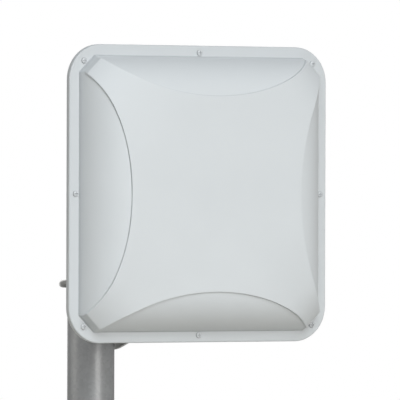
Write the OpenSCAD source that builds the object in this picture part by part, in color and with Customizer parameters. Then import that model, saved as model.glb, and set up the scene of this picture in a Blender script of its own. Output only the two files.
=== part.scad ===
// Square panel antenna with a moulded radome, on a tilt bracket that one U-bolt clamps to a mast.
// The origin is the middle of the mast's foot, +Z runs up the mast and the panel faces -Y.

/* [Radome] */
// Outer width and height of the square panel
panel_w = 300; // [270:1:340]
// Radius of the panel's outer corners
panel_corner_r = 36; // [30:1:42]
// Width of the flat flange round the raised cover
flange_w = 11.1; // [10:0.1:13]
// Thickness of the flange
flange_t = 2.5; // [2.3:0.1:4]
// Wall of the rim that hides the edge of the back plate
rim_wall = 2.5; // [2.3:0.1:3.5]
// How far the rim reaches past the back plate
rim_lip = 0.5; // [0.2:0.1:3]
// Rounding of the flange's front edge
edge_r = 2.2; // [0.8:0.1:2.3]
// Wall of the raised cover
cover_wall = 2.5; // [1.6:0.1:3]
// Run of a side scallop, from the flange to its crown
scallop_run = 49; // [47:0.5:52]
// Rise of a side scallop above the flange
scallop_rise = 37; // [35:0.5:39]
// Step from the crown of a scallop up to the X-shaped face
face_step = 0.8; // [0.6:0.1:2]
// Distance from the flange to the middle of each side of the X-shaped face
waist_in = 40.4; // [38:0.1:43]
// Distance from the flange to the tips of the X-shaped face
tip_in = 3.4; // [2.5:0.1:5]
// Distance of those tips from the corner, along the side
tip_back = 18.9; // [17:0.1:21]
// Length over which an arm of the face falls towards its corner
arm_run = 102; // [96:1:108]
// Radius of the first, slow part of that fall
arm_r = 350; // [310:5:400]
// Angle that the slow part turns through
arm_turn = 9.5; // [8.5:0.1:10.5]
// Radius of the last, steep part of that fall
tip_r = 75; // [70:1:85]
// Length of side that each slanted corner wall cuts off
corner_cut = 17; // [15:0.1:20]
// Lean of the corner walls from upright
corner_draft = 7; // [4:0.5:15]

/* [Radome screws] */
// Thread of the flange screws
screw_d = 3.5; // [2.5:0.1:4]
// Diameter of their pan heads
screw_head_d = 6; // [5:0.1:6.6]
// Height of their heads
screw_head_h = 2; // [1.5:0.1:3]
// Distance of the side screws from the panel's edge
screw_edge = 7.3; // [6:0.1:7.8]
// Distance of the corner screws outside the slanted walls
screw_out = 4.1; // [3.5:0.1:5]
// How far the screw tips stand out behind the back plate
screw_tip = 2.5; // [0.5:0.1:5]

/* [Back plate and seal] */
// Thickness of the seal under the flange
gasket_t = 1; // [0.5:0.1:2]
// Thickness of the back plate
plate_t = 2; // [1.8:0.1:4]
// Gap between the edge of the back plate and the rim
plate_gap = 0.5; // [0.2:0.1:1.5]

/* [Radiators] */
// Width of the square feed board
board_w = 200; // [192:1:215]
// Thickness of the feed board
board_t = 1.6; // [0.8:0.1:3]
// Thickness of the copper on the board
copper_t = 0.2; // [0.1:0.05:0.5]
// Distance between the centres of neighbouring patches
patch_pitch = 124; // [118:1:126]
// Width of a driven patch
patch_w = 54; // [44:1:56]
// Width of the feed lines
feed_w = 3; // [1.5:0.1:6]
// Width of a director patch
director_w = 50; // [40:1:60]
// Thickness of a director patch
director_t = 1.5; // [0.8:0.1:3]
// Height of the directors above the board
director_gap = 18; // [8:0.5:22]
// Diameter of the pillars that carry the directors
pillar_d = 8; // [6:0.5:12]
// Thread of the screws in the board and the pillars
small_d = 3; // [2:0.1:3.5]
// Distance of the board's screws from its edge
small_edge = 5; // [3.5:0.1:5]

/* [Coaxial jack] */
// Diameter over the jack's thread
jack_d = 15.9; // [14:0.1:16.5]
// Length of the jack behind its flange
jack_len = 18; // [14:0.5:24]
// Width of the jack's square flange
jack_flange_w = 25.4; // [25:0.1:30]
// Thickness of the jack's flange
jack_flange_t = 2.5; // [1.5:0.1:4]
// Distance between the screws in the jack's flange
jack_pitch = 18.3; // [18:0.1:19]
// Thickness of the rubber seal under the jack's flange
jack_seal_t = 1; // [0.5:0.1:2]
// Diameter of the plastic core in the jack
core_d = 8.2; // [7:0.1:9]
// Depth of the jack's socket
socket_depth = 9; // [6:0.5:11]
// Diameter of the jack's centre contact
contact_d = 3; // [2.4:0.1:3.6]

/* [Tilt bracket] */
// Thickness of the bracket's steel sheet
bracket_t = 3; // [2:0.1:5]
// Inside radius of the bracket's bend
bend_r = 3; // [1.5:0.1:4]
// Width of the bracket's base, from the ear to its free edge
base_w = 62; // [60:1:80]
// Height of the bracket's base
base_h = 72; // [68:1:100]
// Radius of the base's free corners
base_corner_r = 8; // [3:0.5:10]
// Radius of the ear's round end
ear_r = 68; // [60:1:75]
// How far the centre of that round end lies behind the mast's axis
ear_back = 10; // [0:0.5:15]
// Distance from the back plate to the mast's axis
ear_reach = 110.5; // [100:0.5:140]
// Largest tilt of the panel, up or down
tilt_max = 25; // [5:1:30]
// Thread of the studs in the back plate
stud_d = 6; // [5:0.1:6]
// Distance between the studs across the base
stud_pitch_x = 36; // [30:1:36]
// Distance between the studs up the base
stud_pitch_z = 52; // [40:1:54]
// Distance from the bend to the nearest row of studs
stud_from_bend = 8; // [7.5:0.5:12]
// Height of the panel's centre above the U-bolt
panel_lift = 92; // [85:1:100]

/* [Mast clamp] */
// Diameter of the U-bolt's rod
rod_d = 8; // [6:0.1:9]
// Inside width of the U-bolt
u_width = 54; // [51:0.5:58]
// Gap between the mast and the U-bolt's bend
u_gap = 0.6; // [0.3:0.1:0.8]
// Thread that stands out past the U-bolt's nuts
rod_spare = 6; // [2:0.5:15]
// Steel between the mast and the ear, in the middle of the saddle
saddle_back = 3.25; // [2.5:0.05:8]
// Height of the saddle
saddle_h = 24; // [16:1:40]
// How far the saddle's horns reach back round the mast
saddle_horn = 12; // [6:0.5:16]
// Depth of the saddle's teeth
tooth_h = 1.2; // [0.5:0.1:2]
// Number of teeth
tooth_count = 12; // [6:1:16]

/* [Mast] */
// Outer diameter of the mast
mast_d = 48.3; // [44:0.1:50]
// Wall of the mast's tube
mast_wall = 2.9; // [2:0.1:5]
// Height of the U-bolt above the mast's foot
clamp_z = 158; // [140:1:260]
// Length of mast above the U-bolt
mast_above = 76; // [40:1:78]

/* [Hidden] */
$fn = 96;
// Gap between pieces that slide on each other
run_gap = 0.3;
// Radial gap of a screw in its thread
thread_gap = 0.05;
// Radial gap of a screw in a plain hole
hole_gap = 0.35;
// Overlap of a cut past the surface that it opens
cut = 1;

// Radome
base_half = panel_w / 2 - flange_w;
side_half = panel_w / 2 - panel_corner_r;
scallop_axis = (scallop_rise * scallop_rise - scallop_run * scallop_run) / (2 * scallop_rise);
scallop_r = scallop_rise - scallop_axis;
crown_half = base_half - scallop_run;
face_h = scallop_rise + face_step;
waist_half = base_half - waist_in;
waist_sag = waist_in - tip_in;
waist_chord = base_half - tip_back;
waist_r = (waist_chord * waist_chord + waist_sag * waist_sag) / (2 * waist_sag);
corner_dist = (2 * base_half - corner_cut) / sqrt(2);
arm_dist = corner_dist - arm_run;
// Thinner wall kept at the step round the face
step_wall = cover_wall / 2;

// Levels behind the flange's front, measured along the panel's normal
plate_front = -flange_t - gasket_t;
plate_back = plate_front - plate_t;
rim_depth = rim_lip - plate_back;
rim_half = panel_w / 2 - rim_wall;
plate_half = rim_half - plate_gap;
plate_corner_r = panel_corner_r - rim_wall - plate_gap;
board_front = plate_front + board_t;
copper_front = board_front + copper_t;
director_back = board_front + director_gap;
jack_flange_back = plate_back - jack_seal_t - jack_flange_t;
jack_end = jack_flange_back - jack_len;
jack_spigot_d = core_d + 4;

// Places of the flange screws: four at the corners and four at the middles of the sides
screw_corner = (corner_dist + screw_out) / sqrt(2);
screw_side = panel_w / 2 - screw_edge;
screw_places = [
    for (turn = [0 : 90 : 270])
        for (p = [[screw_side, 0], [screw_corner, screw_corner]])
            [p.x * cos(turn) - p.y * sin(turn), p.x * sin(turn) + p.y * cos(turn)]
];
corner_signs = [[-1, -1], [1, -1], [-1, 1], [1, 1]];
patch_places = [for (s = corner_signs) s * patch_pitch / 2];
board_hole = board_w / 2 - small_edge;
board_holes = concat(
    [for (s = corner_signs) s * board_hole],
    [for (turn = [0 : 90 : 270]) [board_hole * cos(turn), board_hole * sin(turn)]]
);
jack_holes = [for (s = corner_signs) s * jack_pitch / 2];

// Small screws
small_head_d = 1.8 * small_d;
small_head_h = 0.65 * small_d;
small_grip = plate_t - 0.5;

// Mast clamp, measured from the mast's axis
mast_r = mast_d / 2;
mast_len = clamp_z + mast_above;
rod_half = u_width / 2 + rod_d / 2;
u_centre = u_width / 2 - mast_r - u_gap;
saddle_face = mast_r + run_gap + saddle_back;
saddle_half = rod_half + rod_d;
ear_x = saddle_face + run_gap;
ear_out = ear_x + bracket_t;
rod_washer = [2 * rod_d, 0.2 * rod_d];
rod_spring = [1.75 * rod_d, 0.25 * rod_d];
rod_nut = [1.625 * rod_d, 0.8 * rod_d];
rod_washer_x = ear_out + run_gap;
rod_spring_x = rod_washer_x + rod_washer[1];
rod_nut_x = rod_spring_x + rod_spring[1];
rod_end = rod_nut_x + rod_nut[1] + rod_spare;

// Tilt bracket
bend_start = ear_reach - bracket_t - bend_r;
stud_x = ear_out + bend_r + stud_from_bend;
stud_washer = [2 * stud_d, 0.27 * stud_d];
stud_spring = [1.8 * stud_d, 0.27 * stud_d];
stud_nut = [1.667 * stud_d, 0.83 * stud_d];
stud_head = [1.4 * stud_d, 0.25 * stud_d];
stud_spare = stud_d / 2;
base_front_h = plate_back;
base_back_h = base_front_h - bracket_t;
stud_spring_h = base_back_h - stud_washer[1];
stud_nut_h = stud_spring_h - stud_spring[1];
stud_end_h = stud_nut_h - stud_nut[1] - stud_spare;
stud_places = [for (s = corner_signs) [s.x * stud_pitch_x / 2, s.y * stud_pitch_z / 2 - panel_lift]];

// Place of the panel's centre, on the front of its flange
panel_x = stud_x + stud_pitch_x / 2;
panel_y = -ear_reach + plate_back;
panel_z = clamp_z + panel_lift;

// Stands the panel's own frame (right, up, forward) upright in front of the mast
module in_panel() {
    translate([panel_x, panel_y, panel_z]) rotate([90, 0, 0]) children();
}

// Lays a piece along the U-bolt's legs, with its own +Z pointing along +X
module on_legs(x) {
    for (side = [-1, 1])
        translate([x, side * rod_half, clamp_z]) rotate([0, 90, 0]) children();
}

module at_places(places, h) {
    for (p = places)
        translate([p.x, p.y, h]) children();
}

module rounded_square(width, r) {
    square([width - 2 * r, width], center = true);
    square([width, width - 2 * r], center = true);
    for (s = corner_signs)
        translate(s * (width / 2 - r)) circle(r);
}

// Square with its corners cut off at 45 degrees
module cut_square(half, corner) {
    intersection() {
        square(2 * half, center = true);
        rotate(45) square(sqrt(2) * (2 * half - corner), center = true);
    }
}

module hex_nut(size, bore_d) {
    bevel_r = size[0] / 2 / cos(30);
    difference() {
        intersection() {
            cylinder(d = size[0] / cos(30), h = size[1], $fn = 6);
            rotate_extrude()
                polygon([
                    [0, 0], [size[0] / 2, 0], [bevel_r, size[1] / 6],
                    [bevel_r, size[1] * 5 / 6], [size[0] / 2, size[1]], [0, size[1]]
                ]);
        }
        translate([0, 0, -cut]) cylinder(d = bore_d, h = size[1] + 2 * cut);
    }
}

module flat_washer(size, bore_d) {
    linear_extrude(size[1])
        difference() {
            circle(d = size[0]);
            circle(d = bore_d);
        }
}

// Spring washer: a ring with one slanted split
module spring_washer(size, bore_d) {
    difference() {
        flat_washer(size, bore_d);
        rotate([20, 0, 0]) translate([0, -size[1] / 3, -size[1]])
            cube([size[0], size[1] * 2 / 3, 3 * size[1]]);
    }
}

// Pan-head screw with a cross recess: its head sits on z = 0 and its shank points down
module pan_screw(d, head_d, head_h, len) {
    edge_h = 0.45 * head_h;
    dome = head_h - edge_h;
    dome_r = (head_d * head_d / 4 + dome * dome) / (2 * dome);
    recess = [0.62 * head_d, 0.16 * head_d, head_h];
    point = 0.4 * d;
    difference() {
        rotate_extrude()
            intersection() {
                translate([0, head_h - dome_r]) circle(dome_r);
                square([head_d / 2, head_h]);
            }
        for (turn = [0, 90])
            rotate(turn) translate([0, 0, 0.45 * head_h + recess.z / 2]) cube(recess, center = true);
    }
    translate([0, 0, point - len]) cylinder(d = d, h = len - point);
    translate([0, 0, -len]) cylinder(d1 = d - 2 * point, d2 = d, h = point);
}

// Section through the flange and its rim, from the start of the corner outwards
module flange_section() {
    corner = panel_corner_r - edge_r;
    difference() {
        union() {
            translate([0, -flange_t]) square([panel_corner_r, flange_t]);
            translate([panel_corner_r - rim_wall, -rim_depth]) square([rim_wall, rim_depth]);
        }
        translate([corner, -edge_r]) square(edge_r + cut);
    }
    intersection() {
        translate([corner, -edge_r]) circle(edge_r);
        translate([corner, -edge_r]) square(edge_r);
    }
}

module flange() {
    for (turn = [0 : 90 : 270])
        rotate(turn) {
            translate([side_half, side_half]) rotate_extrude(angle = 90) flange_section();
            translate([side_half, 0]) rotate([90, 0, 0])
                linear_extrude(2 * side_half, center = true) flange_section();
        }
    translate([0, 0, -flange_t]) linear_extrude(flange_t) square(2 * side_half, center = true);
}

// Section across the panel: a flat crown that falls to the flange in one arc on each side
module scallop_section(inset, low) {
    translate([-crown_half, low]) square([2 * crown_half, scallop_rise - inset - low]);
    for (side = [0, 1])
        mirror([side, 0])
            intersection() {
                translate([crown_half, scallop_axis]) circle(scallop_r - inset);
                translate([crown_half - cut, low]) square([scallop_run + flange_w, scallop_rise - low]);
            }
}

// Section along a diagonal: a flat face whose arms fall ever faster towards the corners
module arm_section(inset, low) {
    slow_end = arm_dist + (arm_r - inset) * sin(arm_turn);
    tip_centre = [
        arm_dist + (arm_r - tip_r) * sin(arm_turn),
        face_h - arm_r + (arm_r - tip_r) * cos(arm_turn)
    ];
    translate([-arm_dist, low]) square([2 * arm_dist, face_h - inset - low]);
    for (side = [0, 1])
        mirror([side, 0]) {
            intersection() {
                translate([arm_dist, face_h - arm_r]) circle(arm_r - inset);
                translate([arm_dist - cut, low]) square([slow_end - arm_dist + cut, face_h - low]);
            }
            intersection() {
                translate(tip_centre) circle(tip_r - inset);
                translate([slow_end - cut, low]) square([tip_r, face_h - low]);
            }
        }
}

// Prism over the X-shaped face: a square with a large arc cut into each side
module face_prism(inset, low) {
    translate([0, 0, low]) linear_extrude(face_h - low + cut)
        difference() {
            square(2 * base_half, center = true);
            for (turn = [0 : 90 : 270])
                rotate(turn) translate([waist_half + waist_r, 0]) circle(waist_r + inset);
        }
}

// Solid inside the slanted walls at the four corners, drawn as what lies outside them
module outside_corners(inset) {
    reach = 2 * face_h;
    for (turn = [45 : 90 : 315])
        rotate(turn) translate([corner_dist - inset, 0, 0]) rotate([0, -corner_draft, 0])
            translate([0, -base_half, -reach]) cube([base_half, 2 * base_half, 2 * reach]);
}

// What stands above the falling arms of the face, cut a little wider than the face itself
module above_arms(inset, step_inset, low) {
    length = 2 * panel_w;
    difference() {
        face_prism(step_inset - cut, low);
        intersection() {
            rotate([90, 0, 45]) linear_extrude(length, center = true) arm_section(inset, low - cut);
            rotate([90, 0, 135]) linear_extrude(length, center = true) arm_section(inset, low - cut);
        }
    }
}

// Raised cover, shrunk by inset for its hollow, down to the level low
module cover(inset, step_inset, low) {
    length = 2 * panel_w;
    difference() {
        union() {
            intersection() {
                rotate([90, 0, 0]) linear_extrude(length, center = true) scallop_section(inset, low);
                rotate([90, 0, 90]) linear_extrude(length, center = true) scallop_section(inset, low);
            }
            face_prism(step_inset, low);
        }
        above_arms(inset, step_inset, low);
        outside_corners(inset);
    }
}

module radome() {
    color("gainsboro") in_panel()
        difference() {
            union() {
                flange();
                cover(0, 0, -flange_t / 2);
            }
            cover(cover_wall, step_wall, -flange_t - cut);
            at_places(screw_places, -flange_t - cut)
                cylinder(r = screw_d / 2 + hole_gap, h = flange_t + 2 * cut);
        }
}

module flange_screws() {
    color("whitesmoke") in_panel()
        at_places(screw_places, 0)
            pan_screw(screw_d, screw_head_d, screw_head_h, screw_tip - plate_back);
}

module rim_gasket() {
    color("dimgray") in_panel()
        translate([0, 0, plate_front])
            linear_extrude(gasket_t)
                difference() {
                    rounded_square(2 * plate_half, plate_corner_r);
                    cut_square(base_half, corner_cut);
                    for (p = screw_places)
                        translate(p) circle(screw_d / 2 + hole_gap);
                }
}

module back_plate() {
    color("silver") in_panel()
        difference() {
            translate([0, 0, plate_back]) linear_extrude(plate_t)
                difference() {
                    rounded_square(2 * plate_half, plate_corner_r);
                    for (p = screw_places)
                        translate(p) circle(screw_d / 2 + thread_gap);
                    for (p = stud_places)
                        translate(p) circle(stud_d / 2 + thread_gap);
                    for (p = jack_holes)
                        translate(p) circle(small_d / 2 + thread_gap);
                    circle(d = jack_spigot_d + 2 * thread_gap);
                }
            at_places(stud_places, plate_front - stud_head[1])
                cylinder(r = stud_head[0] / 2 + thread_gap, h = stud_head[1] + cut);
            at_places(concat(board_holes, patch_places), plate_front - small_grip)
                cylinder(r = small_d / 2 + thread_gap, h = small_grip + cut);
        }
}

module feed_board() {
    color("darkolivegreen") in_panel()
        translate([0, 0, plate_front])
            linear_extrude(board_t)
                difference() {
                    square(board_w, center = true);
                    for (p = concat(board_holes, patch_places))
                        translate(p) circle(small_d / 2 + hole_gap);
                    for (p = jack_holes)
                        translate(p) circle(small_d / 2 + hole_gap);
                    circle(d = contact_d / 2 + 2 * hole_gap);
                }
}

// Four driven patches, joined by an H of feed lines that starts at the jack's pin
module copper_circuit() {
    pad_d = 3 * contact_d;
    color("peru") in_panel()
        translate([0, 0, board_front])
            linear_extrude(copper_t)
                difference() {
                    union() {
                        for (p = patch_places)
                            translate(p) square(patch_w, center = true);
                        square([patch_pitch + feed_w, feed_w], center = true);
                        for (side = [-1, 1])
                            translate([side * patch_pitch / 2, 0])
                                square([feed_w, patch_pitch - patch_w + cut], center = true);
                        circle(d = pad_d);
                    }
                    for (p = patch_places)
                        translate(p) circle(small_d / 2 + hole_gap);
                    for (p = board_holes)
                        translate(p) circle(small_head_d / 2 + hole_gap);
                    circle(d = contact_d / 2 + 2 * hole_gap);
                }
}

module board_screws() {
    color("goldenrod") in_panel()
        at_places(board_holes, board_front)
            pan_screw(small_d, small_head_d, small_head_h, board_t + small_grip - thread_gap);
}

// Plastic pillars with a stud that goes through the board into the back plate
module director_pillars() {
    foot = copper_front - plate_front + small_grip - thread_gap;
    height = director_back - copper_front;
    depth = height / 2;
    color("white") in_panel()
        difference() {
            union() {
                at_places(patch_places, copper_front) cylinder(d = pillar_d, h = height);
                at_places(patch_places, copper_front - foot) cylinder(d = small_d, h = foot + cut);
            }
            at_places(patch_places, director_back - depth)
                cylinder(r = small_d / 2 + thread_gap, h = depth + cut);
        }
}

module director_patches() {
    corner_r = 0.08 * director_w;
    color("lightgray") in_panel()
        at_places(patch_places, director_back)
            linear_extrude(director_t)
                difference() {
                    rounded_square(director_w, corner_r);
                    circle(small_d / 2 + hole_gap);
                }
}

module director_screws() {
    color("ivory") in_panel()
        at_places(patch_places, director_back + director_t)
            pan_screw(small_d, small_head_d, small_head_h, director_t + director_gap / 3);
}

// Jack: square flange outside, a spigot through the back plate and a hollow threaded barrel
module connector_jack() {
    spigot_end = plate_front;
    color("silver") in_panel()
        difference() {
            union() {
                translate([0, 0, jack_flange_back]) linear_extrude(jack_flange_t)
                    rounded_square(jack_flange_w, jack_flange_t / 2);
                translate([0, 0, jack_end]) cylinder(d = jack_d, h = jack_len + jack_flange_t);
                translate([0, 0, jack_flange_back]) cylinder(d = jack_spigot_d, h = spigot_end - jack_flange_back);
            }
            translate([0, 0, jack_end - cut]) cylinder(d = core_d, h = spigot_end - jack_end + 2 * cut);
            at_places(jack_holes, jack_flange_back - cut)
                cylinder(r = small_d / 2 + hole_gap, h = jack_flange_t + 2 * cut);
        }
}

module connector_insulator() {
    low = jack_end + socket_depth;
    color("white") in_panel()
        translate([0, 0, low])
            linear_extrude(plate_front - low)
                difference() {
                    circle(d = core_d - 2 * thread_gap);
                    circle(d = contact_d + 2 * thread_gap);
                }
}

// Centre contact: a hollow socket at the open end and a thin tail that is soldered to the board
module connector_pin() {
    low = jack_end + socket_depth / 3;
    bore_depth = socket_depth / 2;
    color("gold") in_panel()
        difference() {
            union() {
                translate([0, 0, low]) cylinder(d = contact_d, h = plate_front - low);
                translate([0, 0, low]) cylinder(d = contact_d / 2, h = copper_front + board_t - low);
            }
            translate([0, 0, low - cut]) cylinder(d = contact_d * 0.55, h = bore_depth + cut);
            for (turn = [0, 90])
                rotate(turn) translate([0, 0, low])
                    cube([2 * contact_d, contact_d / 8, bore_depth], center = true);
        }
}

module connector_seal() {
    color("black") in_panel()
        translate([0, 0, plate_back - jack_seal_t])
            linear_extrude(jack_seal_t)
                difference() {
                    rounded_square(jack_flange_w, jack_flange_t / 2);
                    circle(d = jack_spigot_d + 2 * thread_gap);
                    for (p = jack_holes)
                        translate(p) circle(small_d / 2 + hole_gap);
                }
}

module connector_screws() {
    color("silver") in_panel()
        at_places(jack_holes, jack_flange_back) mirror([0, 0, 1])
            pan_screw(small_d, small_head_d, small_head_h, plate_front - jack_flange_back);
}

// Outline of the bracket's ear: a round end that narrows in two tangents to the bend
module ear_outline() {
    centre = [-ear_back, 0];
    foot = [bend_start, base_h / 2];
    to_foot = foot - centre;
    tangent = atan2(to_foot.y, to_foot.x) + acos(ear_r / norm(to_foot));
    touch = centre + ear_r * [cos(tangent), sin(tangent)];
    translate(centre) circle(ear_r);
    polygon([touch, foot, [foot.x, -foot.y], [touch.x, -touch.y]]);
}

// Slot that lets one leg of the U-bolt swing about the mast's axis
module tilt_slot() {
    width = rod_d + 2 * run_gap;
    depth = bracket_t + 2 * cut;
    rotate(-tilt_max) rotate_extrude(angle = 2 * tilt_max)
        translate([rod_half - width / 2, 0]) square([width, depth]);
    for (turn = [-tilt_max, tilt_max])
        rotate(turn) translate([rod_half, 0]) cylinder(d = width, h = depth);
}

module tilt_bracket() {
    base_from = ear_out + bend_r;
    base_to = ear_x + base_w;
    color("darkgray") difference() {
        union() {
            translate([ear_out, 0, clamp_z]) rotate([90, 0, -90])
                linear_extrude(bracket_t) ear_outline();
            translate([base_from, -bend_start, clamp_z - base_h / 2])
                rotate(180) rotate_extrude(angle = 90)
                    translate([bend_r, 0]) square([bracket_t, base_h]);
            translate([base_from, -ear_reach + bracket_t, clamp_z - base_h / 2]) rotate([90, 0, 0])
                linear_extrude(bracket_t) {
                    square([base_to - base_from - base_corner_r, base_h]);
                    translate([0, base_corner_r])
                        square([base_to - base_from, base_h - 2 * base_corner_r]);
                    for (z = [base_corner_r, base_h - base_corner_r])
                        translate([base_to - base_from - base_corner_r, z]) circle(base_corner_r);
                }
        }
        translate([ear_out + cut, 0, clamp_z]) rotate([90, 0, -90])
            for (turn = [0, 180])
                rotate(turn) tilt_slot();
        in_panel() at_places(stud_places, base_back_h - cut)
            cylinder(r = stud_d / 2 + hole_gap, h = bracket_t + 2 * cut);
        in_panel() at_places(screw_places, base_back_h - cut)
            cylinder(r = screw_d / 2 + hole_gap, h = bracket_t + 2 * cut);
    }
}

module bracket_studs() {
    color("lightsteelblue") in_panel()
        at_places(stud_places, stud_end_h) {
            cylinder(d = stud_d, h = plate_front - stud_end_h);
            translate([0, 0, plate_front - stud_head[1] - stud_end_h])
                cylinder(d = stud_head[0], h = stud_head[1]);
        }
}

module bracket_washers() {
    color("lightsteelblue") in_panel()
        at_places(stud_places, stud_spring_h) flat_washer(stud_washer, stud_d + 2 * hole_gap);
}

module bracket_spring_washers() {
    color("slategray") in_panel()
        at_places(stud_places, stud_nut_h) spring_washer(stud_spring, stud_d + 2 * hole_gap);
}

module bracket_nuts() {
    color("lightsteelblue") in_panel()
        at_places(stud_places, stud_nut_h - stud_nut[1]) hex_nut(stud_nut, stud_d + 2 * thread_gap);
}

module u_bolt() {
    color("lightslategray") translate([u_centre, 0, clamp_z]) {
        rotate(90) rotate_extrude(angle = 180) translate([rod_half, 0]) circle(d = rod_d);
        for (side = [-1, 1])
            translate([0, side * rod_half, 0]) rotate([0, 90, 0])
                cylinder(d = rod_d, h = rod_end - u_centre);
    }
}

// Saddle: a block with a toothed hollow for the mast and a hole for each leg of the U-bolt
module clamp_saddle() {
    step = 180 / tooth_count;
    tip = mast_r + run_gap;
    hollow = [
        for (i = [-tooth_count : tooth_count])
            let (r = i % 2 == 0 ? tip : tip + tooth_h)
                r * [cos(i * step), sin(i * step)]
    ];
    color("slategray") difference() {
        translate([0, 0, clamp_z - saddle_h / 2]) linear_extrude(saddle_h)
            difference() {
                translate([saddle_horn, -saddle_half])
                    square([saddle_face - saddle_horn, 2 * saddle_half]);
                polygon(hollow);
            }
        on_legs(0) cylinder(r = rod_d / 2 + run_gap, h = rod_end);
    }
}

module clamp_washers() {
    color("lightsteelblue") on_legs(rod_washer_x) flat_washer(rod_washer, rod_d + 2 * hole_gap);
}

module clamp_spring_washers() {
    color("slategray") on_legs(rod_spring_x) spring_washer(rod_spring, rod_d + 2 * hole_gap);
}

module clamp_nuts() {
    color("lightsteelblue") on_legs(rod_nut_x) hex_nut(rod_nut, rod_d + 2 * thread_gap);
}

module mast_tube() {
    color("gray") linear_extrude(mast_len)
        difference() {
            circle(r = mast_r);
            circle(r = mast_r - mast_wall);
        }
}

mast_tube();
u_bolt();
clamp_saddle();
clamp_washers();
clamp_spring_washers();
clamp_nuts();
tilt_bracket();
bracket_studs();
bracket_washers();
bracket_spring_washers();
bracket_nuts();
back_plate();
rim_gasket();
radome();
flange_screws();
feed_board();
copper_circuit();
board_screws();
director_pillars();
director_patches();
director_screws();
connector_jack();
connector_insulator();
connector_pin();
connector_seal();
connector_screws();
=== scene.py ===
import math

import bmesh
import bpy
from mathutils import Matrix, Vector


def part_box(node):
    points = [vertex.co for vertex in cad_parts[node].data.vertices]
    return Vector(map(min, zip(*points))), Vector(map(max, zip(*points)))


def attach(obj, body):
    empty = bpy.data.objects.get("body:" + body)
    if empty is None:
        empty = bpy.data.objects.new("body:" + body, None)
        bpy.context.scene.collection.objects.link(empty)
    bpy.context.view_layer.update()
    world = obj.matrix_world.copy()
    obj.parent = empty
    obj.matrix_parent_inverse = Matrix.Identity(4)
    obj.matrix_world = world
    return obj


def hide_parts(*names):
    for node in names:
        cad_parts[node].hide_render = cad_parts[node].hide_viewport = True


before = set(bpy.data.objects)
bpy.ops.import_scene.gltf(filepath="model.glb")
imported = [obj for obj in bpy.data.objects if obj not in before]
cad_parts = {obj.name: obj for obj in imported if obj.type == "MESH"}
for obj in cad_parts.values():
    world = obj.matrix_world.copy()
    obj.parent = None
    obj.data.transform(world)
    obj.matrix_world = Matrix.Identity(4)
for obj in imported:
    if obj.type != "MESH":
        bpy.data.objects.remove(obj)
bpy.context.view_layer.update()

# Mast: a length of hot-dip galvanised steel pipe, sawn square at both ends and lightly deburred.
# The zinc has dulled to a soft grey with cloudy patches and a few rubbed vertical streaks.
MM = 0.001
mast_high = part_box("mast_tube")[1]
mast_r = mast_high.x
mast_wall = 2.9 * MM
burr = 0.5 * MM


def turned(profile, steps):
    """A closed ring-shaped solid: the (radius, height) profile spun about Z."""
    bm = bmesh.new()
    ring = [bm.verts.new((r, 0, z)) for r, z in profile]
    edges = [bm.edges.new((ring[i - 1], ring[i])) for i in range(len(ring))]
    bmesh.ops.spin(bm, geom=ring + edges, cent=(0, 0, 0), axis=(0, 0, 1),
                   angle=2 * math.pi, steps=steps, use_merge=True)
    return bm


def put(bm, name, body, slot, material, *nodes, sharp=32):
    """Closes a mesh into a finished piece that rides on its body in place of the CAD nodes."""
    bmesh.ops.remove_doubles(bm, verts=bm.verts, dist=1e-6)
    bmesh.ops.recalc_face_normals(bm, faces=bm.faces)
    mesh = bpy.data.meshes.new(name)
    bm.to_mesh(mesh)
    bm.free()
    mesh.shade_smooth()
    mesh.set_sharp_from_angle(angle=math.radians(sharp))
    mesh.materials.append(material)
    piece = bpy.data.objects.new(name, mesh)
    bpy.context.scene.collection.objects.link(piece)
    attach(piece, body)
    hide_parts(*nodes)
    return piece


def finish(name, metallic=0.0, **sockets):
    """A material with a Principled shader whose plain values are set on its own sockets."""
    material = bpy.data.materials.new(name)
    material.use_nodes = True
    shader = material.node_tree.nodes["Principled BSDF"]
    shader.inputs["Metallic"].default_value = metallic
    for socket, value in sockets.items():
        shader.inputs[socket.replace("_", " ")].default_value = value
    return material, material.node_tree, shader


def node(tree, kind, **settings):
    """A shader node with its input sockets and properties set by name."""
    made = tree.nodes.new("ShaderNode" + kind)
    for key, value in settings.items():
        words = key.replace("_", " ")
        if words in made.inputs:
            made.inputs[words].default_value = value
        else:
            setattr(made, key, value)
    return made


def group(name, inputs, outputs):
    """An empty shader node group with float or vector inputs and float outputs."""
    made = bpy.data.node_groups.new(name, "ShaderNodeTree")
    for label, start in inputs.items():
        kind = "NodeSocketVector" if start is None else "NodeSocketFloat"
        socket = made.interface.new_socket(label, in_out="INPUT", socket_type=kind)
        if start is not None:
            socket.default_value = start
    for label in outputs:
        made.interface.new_socket(label, in_out="OUTPUT", socket_type="NodeSocketFloat")
    return made, made.nodes.new("NodeGroupInput"), made.nodes.new("NodeGroupOutput")


def use(tree, made, **values):
    """Places a node group in a material, on the piece's own coordinates."""
    placed = tree.nodes.new("ShaderNodeGroup")
    placed.node_tree = made
    place = tree.nodes.new("ShaderNodeTexCoord")
    tree.links.new(place.outputs["Object"], placed.inputs["Vector"])
    for label, value in values.items():
        placed.inputs[label.replace("_", " ")].default_value = value
    return placed


def ramp(tree, source, stops):
    """Turns a mask into a colour: stops are (position, colour)."""
    made = tree.nodes.new("ShaderNodeValToRGB")
    made.color_ramp.elements[0].position, made.color_ramp.elements[0].color = stops[0][0], (*stops[0][1], 1)
    made.color_ramp.elements[1].position, made.color_ramp.elements[1].color = stops[-1][0], (*stops[-1][1], 1)
    for position, colour in stops[1:-1]:
        made.color_ramp.elements.new(position).color = (*colour, 1)
    tree.links.new(source, made.inputs["Fac"])
    return made.outputs["Color"]


def spread(tree, source, low, high):
    """Spreads a 0 to 1 mask over a range of values, such as roughness."""
    made = node(tree, "MapRange", To_Min=low, To_Max=high)
    tree.links.new(source, made.inputs["Value"])
    return made.outputs["Result"]


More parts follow.
